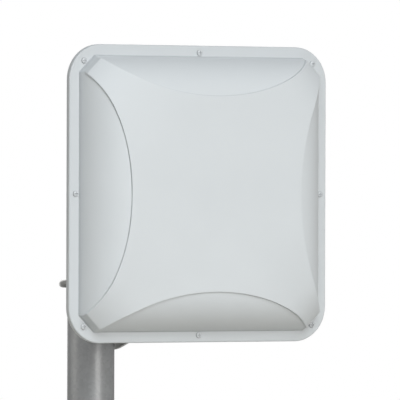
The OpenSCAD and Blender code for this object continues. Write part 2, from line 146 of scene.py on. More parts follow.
def bump(tree, shader, height, distance, strength=1.0):
    """Raises the surface by a mask, to the given distance."""
    made = node(tree, "Bump", Distance=distance, Strength=strength)
    tree.links.new(height, made.inputs["Height"])
    tree.links.new(made.outputs["Normal"], shader.inputs["Normal"])


def zinc_bloom():
    """Dull zinc: cloudy patches, small flake-like crystals and streaks along Z."""
    made, start, end = group(
        "zinc_bloom",
        {"Vector": None, "Crystal Scale": 260.0, "Cloud Scale": 22.0, "Streak Scale": 320.0},
        ["Tone", "Streak", "Height"])
    flakes = node(made, "TexVoronoi", voronoi_dimensions="3D")
    made.links.new(start.outputs["Vector"], flakes.inputs["Vector"])
    made.links.new(start.outputs["Crystal Scale"], flakes.inputs["Scale"])
    flake_tone = node(made, "SeparateColor")
    made.links.new(flakes.outputs["Color"], flake_tone.inputs["Color"])
    clouds = node(made, "TexNoise", Detail=5.0, Roughness=0.6)
    made.links.new(start.outputs["Vector"], clouds.inputs["Vector"])
    made.links.new(start.outputs["Cloud Scale"], clouds.inputs["Scale"])
    mixed = node(made, "Mix", data_type="FLOAT")
    mixed.inputs["Factor"].default_value = 0.3
    made.links.new(clouds.outputs["Fac"], mixed.inputs["A"])
    made.links.new(flake_tone.outputs["Red"], mixed.inputs["B"])
    along = node(made, "Mapping", Scale=(1.0, 1.0, 0.03))
    made.links.new(start.outputs["Vector"], along.inputs["Vector"])
    streaks = node(made, "TexNoise", Detail=3.0, Roughness=0.7)
    made.links.new(along.outputs["Vector"], streaks.inputs["Vector"])
    made.links.new(start.outputs["Streak Scale"], streaks.inputs["Scale"])
    grain = node(made, "TexNoise", Scale=1400.0, Detail=2.0)
    made.links.new(start.outputs["Vector"], grain.inputs["Vector"])
    height = node(made, "Math", operation="MULTIPLY_ADD")
    height.inputs[1].default_value = 0.5
    made.links.new(flake_tone.outputs["Green"], height.inputs[0])
    made.links.new(grain.outputs["Fac"], height.inputs[2])
    made.links.new(mixed.outputs["Result"], end.inputs["Tone"])
    made.links.new(streaks.outputs["Fac"], end.inputs["Streak"])
    made.links.new(height.outputs["Value"], end.inputs["Height"])
    return made


zinc = zinc_bloom()


def galvanised(name, dark, light, crystals, roughness, metallic=0.55, **sockets):
    """Hot-dip zinc between two greys, with crystals of the given scale."""
    material, tree, shader = finish(name, metallic, **sockets)
    bloom = use(tree, zinc, Crystal_Scale=crystals)
    middle = tuple((a + b) / 2 for a, b in zip(dark, light))
    colour = ramp(tree, bloom.outputs["Tone"], [(0.3, dark), (0.5, middle), (0.7, light)])
    tree.links.new(colour, shader.inputs["Base Color"])
    tree.links.new(spread(tree, bloom.outputs["Streak"], *roughness), shader.inputs["Roughness"])
    bump(tree, shader, bloom.outputs["Height"], 0.02 * MM, 0.5)
    return material


mast_zinc = galvanised("mast_zinc", (0.27, 0.276, 0.282), (0.312, 0.319, 0.326), 330.0, (0.36, 0.46), 0.45,
                       Specular_IOR_Level=0.1, Specular_Tint=(0.4, 0.4, 0.4, 1))
mast = turned([
    (mast_r, burr), (mast_r, mast_high.z - burr), (mast_r - burr, mast_high.z),
    (mast_r - mast_wall + burr, mast_high.z), (mast_r - mast_wall, mast_high.z - burr),
    (mast_r - mast_wall, burr), (mast_r - mast_wall + burr, 0), (mast_r - burr, 0),
], 128)
put(mast, "mast_pipe", "mast", "mast_steel", mast_zinc, "mast_tube")

# U-bolt: round bar bent to a half ring that goes round the mast, with a rolled thread on both legs.
# Bright zinc plated, which has gone slightly grey on the bend.
rod_low, rod_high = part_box("u_bolt")
rod_r = (rod_high.z - rod_low.z) / 2
rod_z = (rod_high.z + rod_low.z) / 2
bend_r = rod_high.y - rod_r
bend_x = rod_low.x + rod_r + bend_r
thread_from = 19.0 * MM
rod_pitch = 1.25 * MM
ROD_SIDES = 32


def threaded(length, crest_r, pitch, depth, steps=ROD_SIDES, bore_r=0.0):
    """A threaded bar along +Z: a trapezoid tooth spun into a helix, cut square at both ends."""
    bm = bmesh.new()
    tooth = ((0.0, 0.0), (0.18, 0.0), (0.5, depth), (0.66, depth))
    line = [bm.verts.new((crest_r - cut, 0, (turn + at) * pitch))
            for turn in range(-2, math.ceil(length / pitch) + 2) for at, cut in tooth]
    edges = [bm.edges.new(pair) for pair in zip(line, line[1:])]
    bmesh.ops.spin(bm, geom=line + edges, cent=(0, 0, 0), axis=(0, 0, 1),
                   angle=2 * math.pi, steps=steps, dvec=(0, 0, pitch / steps))
    bmesh.ops.remove_doubles(bm, verts=bm.verts, dist=pitch * 0.02)
    for at, way in ((0.0, -1), (length, 1)):
        bmesh.ops.bisect_plane(bm, geom=bm.verts[:] + bm.edges[:] + bm.faces[:], dist=1e-7,
                               plane_co=(0, 0, at), plane_no=(0, 0, way), clear_outer=True)
    if bore_r:
        bmesh.ops.create_cone(bm, segments=steps, radius1=bore_r, radius2=bore_r, depth=length,
                              matrix=Matrix.Translation((0, 0, length / 2)))
    for at in (0.0, length):
        rim = [e for e in bm.edges if e.is_boundary and all(abs(v.co.z - at) < 1e-6 for v in e.verts)]
        if bore_r:
            bmesh.ops.bridge_loops(bm, edges=rim)
        else:
            bmesh.ops.contextual_create(bm, geom=rim)
    return bm


def join(bm, other, matrix):
    """Adds a placed copy of another mesh to this one."""
    part = bpy.data.meshes.new("part")
    other.to_mesh(part)
    part.transform(matrix)
    bm.from_mesh(part)
    bpy.data.meshes.remove(part)


def micro_wear():
    """Plated metal: soft tone clouds, and short scratches that run every way."""
    made, start, end = group("micro_wear", {"Vector": None, "Cloud Scale": 90.0}, ["Tone", "Scratch"])
    clouds = node(made, "TexNoise", Detail=4.0, Roughness=0.6)
    made.links.new(start.outputs["Vector"], clouds.inputs["Vector"])
    made.links.new(start.outputs["Cloud Scale"], clouds.inputs["Scale"])
    squeezed = node(made, "Mapping", Scale=(1.0, 0.15, 1.0), Rotation=(0.4, 0.7, 0.3))
    made.links.new(start.outputs["Vector"], squeezed.inputs["Vector"])
    scratches = node(made, "TexNoise", Scale=1800.0, Detail=2.0)
    made.links.new(squeezed.outputs["Vector"], scratches.inputs["Vector"])
    made.links.new(clouds.outputs["Fac"], end.inputs["Tone"])
    made.links.new(scratches.outputs["Fac"], end.inputs["Scratch"])
    return made


wear = micro_wear()


def plated(name, dark, light, roughness, metallic=1.0, clouds=90.0, **sockets):
    """Plated or bare metal between two tones, finely scratched."""
    material, tree, shader = finish(name, metallic, **sockets)
    worn = use(tree, wear, Cloud_Scale=clouds)
    colour = ramp(tree, worn.outputs["Tone"], [(0.32, dark), (0.68, light)])
    tree.links.new(colour, shader.inputs["Base Color"])
    tree.links.new(spread(tree, worn.outputs["Scratch"], *roughness), shader.inputs["Roughness"])
    bump(tree, shader, worn.outputs["Scratch"], 0.006 * MM, 0.5)
    return material


rod_zinc = plated("rod_zinc", (0.11, 0.11, 0.105), (0.17, 0.17, 0.163), (0.25, 0.4))
u_bolt = bmesh.new()
along_x = Matrix.Rotation(math.pi / 2, 4, "Y")
section = bmesh.ops.create_circle(u_bolt, segments=ROD_SIDES, radius=rod_r,
                                  matrix=Matrix.Translation((bend_x, bend_r, rod_z)) @ along_x)
ring = list({e for v in section["verts"] for e in v.link_edges})
bmesh.ops.spin(u_bolt, geom=section["verts"] + ring, cent=(bend_x, 0, rod_z), axis=(0, 0, 1),
               angle=math.pi, steps=48)
for edges in ([e for e in u_bolt.edges if e.is_boundary and e.verts[0].co.y * side > 0] for side in (-1, 1)):
    straight = bmesh.ops.extrude_edge_only(u_bolt, edges=edges)["geom"]
    moved = [v for v in straight if isinstance(v, bmesh.types.BMVert)]
    bmesh.ops.translate(u_bolt, verts=moved, vec=(thread_from - bend_x, 0, 0))
    leg_end = [e for e in straight if isinstance(e, bmesh.types.BMEdge) and e.is_boundary]
    bmesh.ops.contextual_create(u_bolt, geom=leg_end)
thread_gap = 0.02 * MM
leg_thread = threaded(rod_high.x - thread_from - thread_gap, rod_r, rod_pitch, 0.6 * MM)
for side in (-1, 1):
    join(u_bolt, leg_thread, Matrix.Translation((thread_from + thread_gap, side * bend_r, rod_z)) @ along_x)
leg_thread.free()
put(u_bolt, "u_bolt_rod", "clamp", "zinc_rod", rod_zinc, "u_bolt")

# Saddle: a toothed jaw that bites into the back of the mast, drilled for the legs of the U-bolt.
# Galvanised steel. Its edges are broken, so they catch the light.


def softened(source, name, body, slot, material, width):
    """A copy of a CAD node with its edges broken by a small bevel."""
    bm = bmesh.new()
    bm.from_mesh(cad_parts[source].data)
    bmesh.ops.remove_doubles(bm, verts=bm.verts, dist=2e-6)
    bmesh.ops.dissolve_limit(bm, angle_limit=math.radians(0.5), verts=bm.verts, edges=bm.edges)
    piece = put(bm, name, body, slot, material, source)
    bevel = piece.modifiers.new("broken_edges", "BEVEL")
    bevel.width = width
    bevel.segments = 2
    bevel.limit_method = "ANGLE"
    bevel.angle_limit = math.radians(40)
    bevel.harden_normals = True
    return piece


saddle_zinc = galvanised("saddle_zinc", (0.14, 0.14, 0.14), (0.24, 0.242, 0.24), 420.0, (0.45, 0.65))
softened("clamp_saddle", "mast_saddle", "clamp", "saddle_steel", saddle_zinc, 0.3 * MM)

# Tilt bracket: one piece of galvanised sheet steel, stamped with two curved slots and bent to an L.
# The ear lies against the saddle, and the base sits on the four studs of the back plate.
bracket_zinc = galvanised("bracket_zinc", (0.5, 0.503, 0.49), (0.64, 0.645, 0.63), 210.0, (0.4, 0.58))
softened("tilt_bracket", "bracket_sheet", "antenna_head", "bracket_steel", bracket_zinc, 0.35 * MM)

# Nuts, washers and screws of the clamp and the bracket: bright zinc plated steel, stamped or forged.
# The spring washers are darker, split rings under each nut.
bright_zinc = plated("bright_zinc", (0.4, 0.405, 0.41), (0.58, 0.585, 0.59), (0.2, 0.36))
spring_steel = plated("spring_steel", (0.18, 0.18, 0.185), (0.28, 0.28, 0.285), (0.3, 0.45))


def coat(material, *names):
    """Gives CAD nodes that keep their shape a finish of their own."""
    for name in names:
        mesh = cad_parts[name].data
        mesh.materials.clear()
        mesh.materials.append(material)


coat(bright_zinc, "clamp_washers", "bracket_washers", "connector_screws")
coat(spring_steel, "clamp_spring_washers", "bracket_spring_washers")
nut_edge = 0.15 * MM
softened("clamp_nuts", "clamp_nut_pair", "clamp", "zinc_fasteners", bright_zinc, nut_edge)
softened("bracket_nuts", "bracket_nut_set", "antenna_head", "zinc_fasteners", bright_zinc, nut_edge)

# Studs: four steel studs pressed into the back plate from the front, threaded all the way.
# Zinc plated like their nuts.
stud_low, stud_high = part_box("bracket_studs")
stud_r = 3.0 * MM
stud_head_r, stud_head_t = 4.2 * MM, 1.5 * MM
stud_xs = (stud_low.x + stud_head_r, stud_high.x - stud_head_r)
stud_zs = (stud_low.z + stud_head_r, stud_high.z - stud_head_r)
stud_thread = threaded(stud_high.y - stud_low.y - stud_head_t, stud_r, 1.0 * MM, 0.5 * MM, steps=24)
stud_head = turned([(stud_head_r, 0), (stud_head_r, stud_head_t), (0.2 * stud_r, stud_head_t), (0.2 * stud_r, 0)], 32)
studs = bmesh.new()
for x in stud_xs:
    for z in stud_zs:
        backwards = Matrix.Translation((x, stud_low.y, z)) @ Matrix.Rotation(-math.pi / 2, 4, "X")
        join(studs, stud_head, backwards)
        join(studs, stud_thread, backwards @ Matrix.Translation((0, 0, stud_head_t)))
stud_thread.free()
stud_head.free()
put(studs, "plate_studs", "antenna_head", "zinc_fasteners", bright_zinc, "bracket_studs")

# Back plate: flat aluminium sheet, blanked with rounded corners, that closes the radome and reflects.
# Mill finish with faint rolling lines from top to bottom.


def rolled_sheet(name, dark, light, roughness):
    """Aluminium as it leaves the mill: long fine lines along Z over soft clouds."""
    material, tree, shader = finish(name, 1.0)
    bloom = use(tree, zinc, Crystal_Scale=900.0, Cloud_Scale=9.0, Streak_Scale=900.0)
    colour = ramp(tree, bloom.outputs["Streak"], [(0.3, dark), (0.7, light)])
    tree.links.new(colour, shader.inputs["Base Color"])
    tree.links.new(spread(tree, bloom.outputs["Tone"], *roughness), shader.inputs["Roughness"])
    bump(tree, shader, bloom.outputs["Streak"], 0.004 * MM, 0.6)
    return material


plate_aluminium = rolled_sheet("plate_aluminium", (0.5, 0.505, 0.51), (0.62, 0.625, 0.63), (0.34, 0.5))
softened("back_plate", "rear_plate", "antenna_head", "plate_aluminium", plate_aluminium, 0.3 * MM)

# Seals: a die-cut rubber gasket under the radome's flange and a rubber washer under the jack.
# Black, matt, with a fine dusty grain.
seal_rubber, tree, shader = finish("seal_rubber", Specular_IOR_Level=0.3)
grain = use(tree, zinc, Crystal_Scale=1600.0, Cloud_Scale=60.0)
tree.links.new(ramp(tree, grain.outputs["Tone"], [(0.3, (0.012, 0.012, 0.012)), (0.7, (0.03, 0.03, 0.031))]),
               shader.inputs["Base Color"])
tree.links.new(spread(tree, grain.outputs["Tone"], 0.65, 0.85), shader.inputs["Roughness"])
bump(tree, shader, grain.outputs["Height"], 0.03 * MM, 0.6)
coat(seal_rubber, "rim_gasket", "connector_seal")

# Feed board: glass-fibre laminate under a green mask, screwed flat on the back plate inside the radome.
# The four driven patches and their feed lines are etched in its copper.
board_green, tree, shader = finish("board_green", Specular_IOR_Level=0.5)
place = node(tree, "TexCoord")
weave_a = node(tree, "TexWave", Scale=260.0, bands_direction="X")
weave_b = node(tree, "TexWave", Scale=260.0, bands_direction="Z")
crossed = node(tree, "Math", operation="MULTIPLY")
for wave, index in ((weave_a, 0), (weave_b, 1)):
    tree.links.new(place.outputs["Object"], wave.inputs["Vector"])
    tree.links.new(wave.outputs["Fac"], crossed.inputs[index])
tree.links.new(ramp(tree, crossed.outputs["Value"], [(0.0, (0.03, 0.085, 0.03)), (1.0, (0.05, 0.13, 0.045))]),
               shader.inputs["Base Color"])
tree.links.new(spread(tree, crossed.outputs["Value"], 0.3, 0.42), shader.inputs["Roughness"])
bump(tree, shader, crossed.outputs["Value"], 0.02 * MM)
coat(board_green, "feed_board")
coat(plated("etched_copper", (0.5, 0.24, 0.13), (0.68, 0.38, 0.24), (0.28, 0.45), clouds=40.0), "copper_circuit")
coat(plated("turned_brass", (0.5, 0.36, 0.13), (0.66, 0.5, 0.22), (0.22, 0.38)), "board_screws")

# Directors: four stamped aluminium patches, each on a moulded nylon pillar with a nylon screw.
# They stand in front of the driven patches, inside the radome.
coat(rolled_sheet("patch_aluminium", (0.52, 0.525, 0.53), (0.66, 0.665, 0.67), (0.3, 0.45)), "director_patches")
white_nylon, tree, shader = finish("white_nylon", Subsurface_Weight=0.08, Subsurface_Scale=0.002)
cloud = use(tree, wear, Cloud_Scale=160.0)
tree.links.new(ramp(tree, cloud.outputs["Tone"], [(0.3, (0.62, 0.61, 0.55)), (0.7, (0.7, 0.69, 0.63))]),
               shader.inputs["Base Color"])
tree.links.new(spread(tree, cloud.outputs["Scratch"], 0.38, 0.55), shader.inputs["Roughness"])
coat(white_nylon, "director_pillars", "director_screws", "connector_insulator")

# Jack: a turned coaxial socket with a square flange, screwed to the back plate over a rubber washer.
# Nickel plated brass with a cut thread. Its centre contact is gold plated.
jack_low, jack_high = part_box("connector_jack")
jack_x = (jack_low.x + jack_high.x) / 2
jack_z = (jack_low.z + jack_high.z) / 2
jack_r, jack_bore_r = 7.95 * MM, 4.1 * MM
jack_flange_half = (jack_high.x - jack_low.x) / 2
jack_flange_t, jack_flange_corner = 2.5 * MM, 1.25 * MM
jack_len = 18.0 * MM
jack_spigot_r = 6.1 * MM
jack_gap = 0.02 * MM
jack_hole = 9.15 * MM
jack_hole_r = 1.85 * MM
CORNER_STEPS = 16


def corner_walk(half, corner, index):
    """A point of a square outline with round corners, numbered once round it."""
    quarter, step = divmod(index, CORNER_STEPS + 1)
    angle = math.radians(90 * (quarter + step / CORNER_STEPS))
    middle = math.radians(90 * quarter + 45)
    reach = (half - corner) * math.sqrt(2)
    return (reach * math.cos(middle) + corner * math.cos(angle), reach * math.sin(middle) + corner * math.sin(angle))


def rounded_loop(bm, half, corner, height):
    """A closed square outline with round corners, its edges in a list."""
    verts = bmesh.ops.create_circle(bm, segments=4 * (CORNER_STEPS + 1), radius=1.0)["verts"]
    verts.sort(key=lambda v: math.atan2(v.co.y, v.co.x) % (2 * math.pi))
    for index, vert in enumerate(verts):
        vert.co = (*corner_walk(half, corner, index), height)
    return list({e for v in verts for e in v.link_edges})


def round_loop(bm, x, y, height, r, segments):
    """A closed circle, its edges in a list."""
    verts = bmesh.ops.create_circle(bm, segments=segments, radius=r,
                                    matrix=Matrix.Translation((x, y, height)))["verts"]
    return list({e for v in verts for e in v.link_edges})


nickel = plated("nickel", (0.5, 0.49, 0.45), (0.64, 0.63, 0.59), (0.16, 0.3))
jack = threaded(jack_len - jack_gap, jack_r, 1.06 * MM, 0.5 * MM, steps=48, bore_r=jack_bore_r)
flange = bmesh.new()
corners = [(sx * jack_hole, sy * jack_hole) for sx in (-1, 1) for sy in (-1, 1)]
sides = []
for level in (0.0, jack_flange_t):
    outline = rounded_loop(flange, jack_flange_half, jack_flange_corner, level)
    holes = [round_loop(flange, x, y, level, jack_hole_r, 24) for x, y in corners]
    middle = round_loop(flange, 0, 0, level, jack_spigot_r if level else jack_bore_r, 48)
    bmesh.ops.triangle_fill(flange, edges=outline + middle + [e for h in holes for e in h], use_beauty=True)
    sides.append([outline, *holes, middle])
for front, back in zip(*(s[:-1] for s in sides)):
    bmesh.ops.bridge_loops(flange, edges=front + back)
spigot_end = jack_high.y - jack_low.y - jack_len
tip = round_loop(flange, 0, 0, spigot_end, jack_spigot_r, 48)
mouth = round_loop(flange, 0, 0, spigot_end, jack_bore_r, 48)
for pair in ((sides[1][-1], tip), (tip, mouth), (mouth, sides[0][-1])):
    bmesh.ops.bridge_loops(flange, edges=pair[0] + pair[1])
join(jack, flange, Matrix.Translation((0, 0, jack_len)))
flange.free()
bmesh.ops.transform(jack, verts=jack.verts,
                    matrix=Matrix.Translation((jack_x, jack_high.y, jack_z)) @ Matrix.Rotation(math.pi / 2, 4, "X"))
put(jack, "coaxial_jack", "antenna_head", "nickel_brass", nickel, "connector_jack")
coat(plated("contact_gold", (0.68, 0.46, 0.14), (0.82, 0.6, 0.22), (0.14, 0.26)), "connector_pin")

# Radome: the moulded plastic cover of the aerial, all one wall of even thickness.
# A flat flange carries a raised cover with four side scallops and an X-shaped face, whose arms fall to the corners.
radome_low, radome_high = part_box("radome")
panel_half, panel_corner, edge_r = 150.0, 36.0, 1.4
rim_depth, wall = 6.0, 2.5
PANEL_AT = (radome_low + radome_high) / 2
PANEL_AT.y = radome_high.y - rim_depth * MM
base_half = 138.9
scallop_run, scallop_rise, face_h = 49.0, 37.0, 37.8
crown_half = base_half - scallop_run
scallop_axis = (scallop_rise ** 2 - scallop_run ** 2) / (2 * scallop_rise)
scallop_r = scallop_rise - scallop_axis
oval_deep, oval_long = 103.4, 155.0
oval_x = base_half - 40.4 + oval_deep
corner_dist = (2 * base_half - 17.0) / math.sqrt(2)
corner_lean = math.tan(math.radians(14.5))
tip_round, tip_run, tip_soft = 4.7, 2.0, 1.3
arm_dist, arm_r, tip_r, arm_turn = corner_dist - 102.0, 350.0, 75.0, math.radians(9.5)
step_wall = wall / 2
skirt_w, near_arc = 1.6, 0.9
screw_hole_r = 2.1


def scallop_height(x, inset):
    """Height of a side scallop, and past its foot the line that carries its steepness on."""
    run = max(0.0, x - crown_half)
    r = scallop_r - inset
    foot = 0.995 * r
    if run > foot:
        return scallop_axis + math.sqrt(r * r - foot * foot) - (run - foot) * foot / math.sqrt(r * r - foot * foot)
    return scallop_axis + math.sqrt(r * r - run * run)


def arm_height(u, inset):
    """Height of the X-shaped face at a distance u along a diagonal."""
    slow_end = arm_dist + (arm_r - inset) * math.sin(arm_turn)
    if u <= arm_dist:
        return face_h - inset
    if u <= slow_end:
        return face_h - arm_r + math.sqrt((arm_r - inset) ** 2 - (u - arm_dist) ** 2)
    run = u - arm_dist - (arm_r - tip_r) * math.sin(arm_turn)
    centre = face_h - arm_r + (arm_r - tip_r) * math.cos(arm_turn)
    return centre + math.sqrt(max(0.0, (tip_r - inset) ** 2 - run * run))


def rounded_min(a, b, k):
    """The lower of two heights, with the edge where they cross rounded over k."""
    return min(a, b) - max(k - abs(a - b), 0.0) ** 2 / (4 * k) if k else min(a, b)


def cover_skin(inset, low, top_r, foot_r, edge_k, foot_k, face_steps, lens_steps, edge_steps):
    """One skin of the raised cover: a quarter is shaped from two grids, then mirrored twice."""
    offset = step_wall if inset else 0.0
    foot_x = crown_half + math.sqrt((scallop_r - inset) ** 2 - (low - scallop_axis) ** 2)
    foot_u = corner_dist - inset - low * corner_lean
    skirt = skirt_w if foot_k else 0.0
    tip_at, edge_at = foot_u - tip_run - tip_round - 0.6, foot_u - tip_run - 1.6
    rows = [tip_at * (1 - (1 - i / 34) ** 1.35) for i in range(35)]
    rows += [tip_at + (edge_at - tip_at) * i / 12 for i in range(1, 13)]
    rows += [edge_at + (foot_u + 0.2 * skirt - edge_at) * i / edge_steps for i in range(1, edge_steps + 1)]
    rows += [foot_u + skirt * share for share in (0.3, 0.5, 0.75, 1.0)] if skirt else []
    # A column is (kind, value): a share of the face, an offset from the face's edge, or a share of the scallop
    columns = [("face", i / face_steps) for i in range(face_steps)]
    columns += [("top", math.radians(90 * i / 5)) for i in range(6)]
    columns += [("low", math.radians(90 * i / 4)) for i in range(5)]
    columns += [("near", 0.5 * near_arc), ("near", near_arc)] if skirt else []
    columns += [("lens", i / lens_steps) for i in range(1, lens_steps + 1)]
    columns += [("skirt", share) for share in (0.05, 0.1, 0.15, 0.25, 0.5, 1.0)] if skirt else []
    bm = bmesh.new()
    halves = [bmesh.ops.create_grid(bm, x_segments=len(columns) - 1, y_segments=len(rows) - 1, size=1.0)["verts"]
              for _ in range(2)]
    for vert in bm.verts:
        kind, value = columns[round((vert.co.x + 1) / 2 * (len(columns) - 1))]
        u = rows[round((vert.co.y + 1) / 2 * (len(rows) - 1))]
        start = Vector((u, u)) / math.sqrt(2)
        end = Vector((foot_x, u * (math.sqrt(2) * foot_u - foot_x) / foot_u))
        way = end - start
        short = min(tip_round, max(0.0, tip_round - (foot_u - tip_run - u)))
        rounding = offset + tip_round - math.sqrt(tip_round ** 2 - short ** 2)
        edge_soft = top_r + (tip_soft * max(0.0, u / foot_u - 0.7) / 0.3 if skirt else 0.0)

        def on_arc(beyond):
            """The point of this row that lies beyond the oval's edge by that much, towards the middle."""
            deep, long = oval_deep + rounding + beyond, oval_long + rounding + beyond
            near, pace = ((start.x - oval_x) / deep, start.y / long), (way.x / deep, way.y / long)
            a = pace[0] ** 2 + pace[1] ** 2
            b = pace[0] * near[0] + pace[1] * near[1]
            c = near[0] ** 2 + near[1] ** 2 - 1
            return start + way * (-b - math.sqrt(b * b - a * c)) / a

        def scallop_at(point):
            """Height of the scallop beside the face, blended into the arm's fall where they cross."""
            arm = arm_height((point.x + point.y) / math.sqrt(2), inset)
            return rounded_min(scallop_height(point.x, inset), arm, 1.0)

        edge = on_arc(0.0)
        step = arm_height((edge.x + edge.y) / math.sqrt(2), inset) - scallop_at(edge)
        soft = min(1.0, step / (edge_soft + foot_r))
        if kind == "face":
            point, drop = start.lerp(on_arc(edge_soft), value), 0.0
        elif kind == "top":
            point, drop = on_arc(edge_soft * (1 - math.sin(value))), soft * edge_soft * (1 - math.cos(value))
        elif kind == "low":
            point, drop = on_arc(-foot_r * (1 - math.cos(value))), -soft * foot_r * (1 - math.sin(value))
        elif kind == "near":
            point, drop = on_arc(-foot_r - value), 0.0
        elif kind == "lens":
            near = on_arc(-foot_r - (near_arc if skirt else 0.0))
            turn_a = math.asin(min(1.0, max(0.0, near.x - crown_half) / (scallop_r - inset)))
            turn_b = math.asin((foot_x - crown_half) / (scallop_r - inset))
            x = crown_half + (scallop_r - inset) * math.sin(turn_a + (turn_b - turn_a) * value)
            point, drop = near.lerp(end, (x - near.x) / (foot_x - near.x)), 0.0
        else:
            point, drop = end + Vector((skirt * value, 0)), 0.0
        along = (point.x + point.y) / math.sqrt(2)
        height = (arm_height(along, inset) if kind in ("face", "top") else scallop_at(point)) - drop
        height = rounded_min(height, (foot_u - along) / corner_lean + low, edge_k)
        vert.co = (point.x, point.y, -rounded_min(-height, -low, foot_k))
    for vert in halves[1]:
        vert.co.xy = vert.co.yx
    bmesh.ops.remove_doubles(bm, verts=bm.verts, dist=1e-4)
    for axis in ("X", "Y"):
        bmesh.ops.mirror(bm, geom=bm.verts[:] + bm.edges[:] + bm.faces[:], merge_dist=1e-4, axis=axis)
    bmesh.ops.remove_doubles(bm, verts=bm.verts, dist=1e-4)
    for vert in bm.verts:
        if vert.is_boundary:
            vert.co.z = low
    return bm


screw_side = 142.7
screw_corner = (corner_dist + 4.1) / math.sqrt(2)
screw_places = [(x * screw_side, y * screw_side) for x, y in ((1, 0), (0, 1), (-1, 0), (0, -1))]
screw_places += [(x * screw_corner, y * screw_corner) for x in (-1, 1) for y in (-1, 1)]
radome = bmesh.new()
join(radome, cover_skin(inset=0.0, low=0.0, top_r=0.2, foot_r=0.1, edge_k=1.6, foot_k=0.7,
                        face_steps=20, lens_steps=16, edge_steps=36), Matrix.Identity(4))
outer_foot = [e for e in radome.edges if e.is_boundary]
inner = bmesh.new()
join(inner, cover_skin(inset=wall, low=-wall, top_r=0.4, foot_r=0.4, edge_k=0.0, foot_k=0.0,
                       face_steps=12, lens_steps=10, edge_steps=8), Matrix.Identity(4))
mark = set(radome.edges)
join(radome, inner, Matrix.Identity(4))
inner.free()
inner_foot = [e for e in radome.edges if e.is_boundary and e not in mark]
outline = [(edge_r + 0.3, 0.0)]
for i in range(7):
    angle = math.radians(15 * i)
    outline.append((edge_r * (1 - math.sin(angle)), -edge_r * (1 - math.cos(angle))))
outline += [(0.0, 0.4 - rim_depth), (0.4, -rim_depth), (wall - 0.3, -rim_depth), (wall, 0.3 - rim_depth), (wall, -wall)]
ring_steps = 4 * (CORNER_STEPS + 1)
rim = bmesh.ops.create_grid(radome, x_segments=len(outline) - 1, y_segments=ring_steps, size=1.0)["verts"]
for vert in rim:
    inwards, level = outline[round((vert.co.x + 1) / 2 * (len(outline) - 1))]
    around = round((vert.co.y + 1) / 2 * ring_steps) % ring_steps
    vert.co = (*corner_walk(panel_half - inwards, panel_corner - inwards, around), level)
mark = set(outer_foot + inner_foot)
bmesh.ops.remove_doubles(radome, verts=rim, dist=1e-4)
rim_edges = [e for e in radome.edges if e.is_boundary and e not in mark]
rim_top = [e for e in rim_edges if e.verts[0].co.z > -wall / 2]
rim_end = [e for e in rim_edges if e.verts[0].co.z < -wall / 2]
hole_tops = [round_loop(radome, x, y, 0.0, screw_hole_r, 24) for x, y in screw_places]
hole_ends = [round_loop(radome, x, y, -wall, screw_hole_r, 24) for x, y in screw_places]
for top, end in zip(hole_tops, hole_ends):
    bmesh.ops.bridge_loops(radome, edges=top + end)
for rings, foot, holes in ((rim_top, outer_foot, hole_tops), (rim_end, inner_foot, hole_ends)):
    bmesh.ops.triangle_fill(radome, edges=rings + foot + [e for h in holes for e in h], use_beauty=True)
# Painted shade, kept per vertex: the flange is darkened where the cover shades it, the crease at the cover's foot is
# darkened on both sides, and a thin dark line runs at the foot of each arc's step, fading towards the corners.
flange_shade, crease_out, crease_in = 0.3, 1.6, 4.5
arc_shade, arc_shade_end = 0.8, 105.0
painted_shade = radome.verts.layers.float.new("painted_shade")
for vert in radome.verts:
    x, y = abs(vert.co.x), abs(vert.co.y)
    off = max(x - base_half, y - base_half, (x + y) / math.sqrt(2) - corner_dist)
    flat = flange_shade * max(0.0, 1 - vert.co.z ** 2 / edge_r ** 2) if off > 0 else 0.0
    crease = max(0.0, 1 - (off / crease_out if off > 0 else max(-off, vert.co.z) / crease_in)) ** 2
    inside = oval_deep * (1 - math.hypot((max(x, y) - oval_x) / oval_deep, min(x, y) / oval_long))
    fading = max(0.0, arc_shade - (min(x, y) / arc_shade_end) ** 2)
    line = max(0.0, 1 - inside / near_arc) * fading if inside > -1e-3 else 0.0
    vert[painted_shade] = max(flat, crease, line) if vert.co.z > -edge_r else 0.0
bmesh.ops.transform(radome, verts=radome.verts,
                    matrix=Matrix.Translation(PANEL_AT) @ Matrix.Rotation(math.pi / 2, 4, "X") @ Matrix.Scale(MM, 4))


def moulded_grain():
    """Moulded plastic: a faint cloud in the tone and the fine grain of a spark-eroded mould."""
    made, start, end = group("moulded_grain", {"Vector": None, "Grain Scale": 1500.0}, ["Tone", "Grain"])
    cloud = node(made, "TexNoise", Scale=14.0, Detail=3.0)
    made.links.new(start.outputs["Vector"], cloud.inputs["Vector"])
    grain = node(made, "TexNoise", Detail=3.0, Roughness=0.6)
    made.links.new(start.outputs["Vector"], grain.inputs["Vector"])
    made.links.new(start.outputs["Grain Scale"], grain.inputs["Scale"])
    made.links.new(cloud.outputs["Fac"], end.inputs["Tone"])
    made.links.new(grain.outputs["Fac"], end.inputs["Grain"])
    return made


moulding = moulded_grain()
radome_dark, radome_light = (0.655, 0.68, 0.7), (0.675, 0.7, 0.72)
# This darker colour is painted shade. The per-vertex mask blends it in on the flange, in the creases and along the
# arcs.
radome_shaded = tuple(0.74 * c for c in radome_dark)
tone_low, tone_high = 0.49, 0.51
radome_plastic, tree, shader = finish("radome_plastic", Specular_IOR_Level=0.3)
grain = use(tree, moulding)
